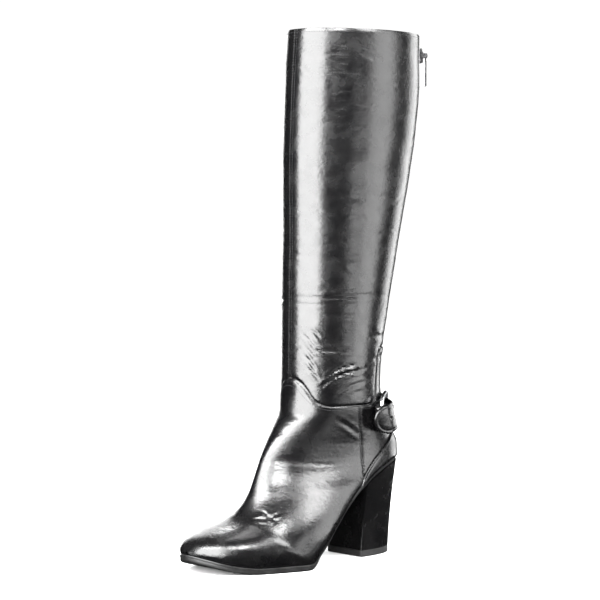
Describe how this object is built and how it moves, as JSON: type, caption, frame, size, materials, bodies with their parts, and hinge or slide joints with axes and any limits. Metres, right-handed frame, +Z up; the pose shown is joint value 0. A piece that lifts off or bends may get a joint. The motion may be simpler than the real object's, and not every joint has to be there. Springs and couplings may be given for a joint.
{
  "type": "knee-high boot",
  "caption": "Knee-high leather boot for the left foot: block heel, rounded almond toe, half ankle strap with a buckle, and a zip up the back.",
  "frame": {"origin": "centre of the heel's tread face, on the floor", "axes": "+Z up along the shaft, -Y towards the toe, +X towards the outer side of the left foot"},
  "size_m": [0.0994, 0.2637, 0.475],
  "materials": {
    "leather": "black polished leather with fine grain and creases",
    "heel_cover": "black gloss heel cover",
    "sole": "black sole edge with a paler worn line",
    "rubber": "black matte top piece",
    "lining": "plain matte lining",
    "elastic": "black matte ribbed stretch cloth",
    "zip_cloth": "black woven zip tape",
    "metal": "polished silver metal with light wear",
    "metal_teeth": "dark silver zip teeth"
  },
  "bodies": {
    "boot": {"upper": "leather", "shaft": "leather", "heel_counter": "leather", "outsole": "sole", "insole": "lining", "heel_block": "heel_cover", "heel_top_lift": "rubber", "stretch_panel": "elastic", "ankle_strap": "leather", "buckle_chape": "leather", "buckle_frame": "metal", "buckle_prong": "metal", "zip_tape": "zip_cloth", "zip_teeth": "metal_teeth", "zip_slider": "metal"},
    "pull": {"zip_pull": "metal"}
  },
  "joints": [
    {"name": "pull_swing", "type": "hinge", "parent": "boot", "child": "pull", "pos_m": [0.02021, 0.05813, 0.45702], "axis": [0.8541, -0.5202, 0], "range_deg": [-6, 150]}
  ]
}
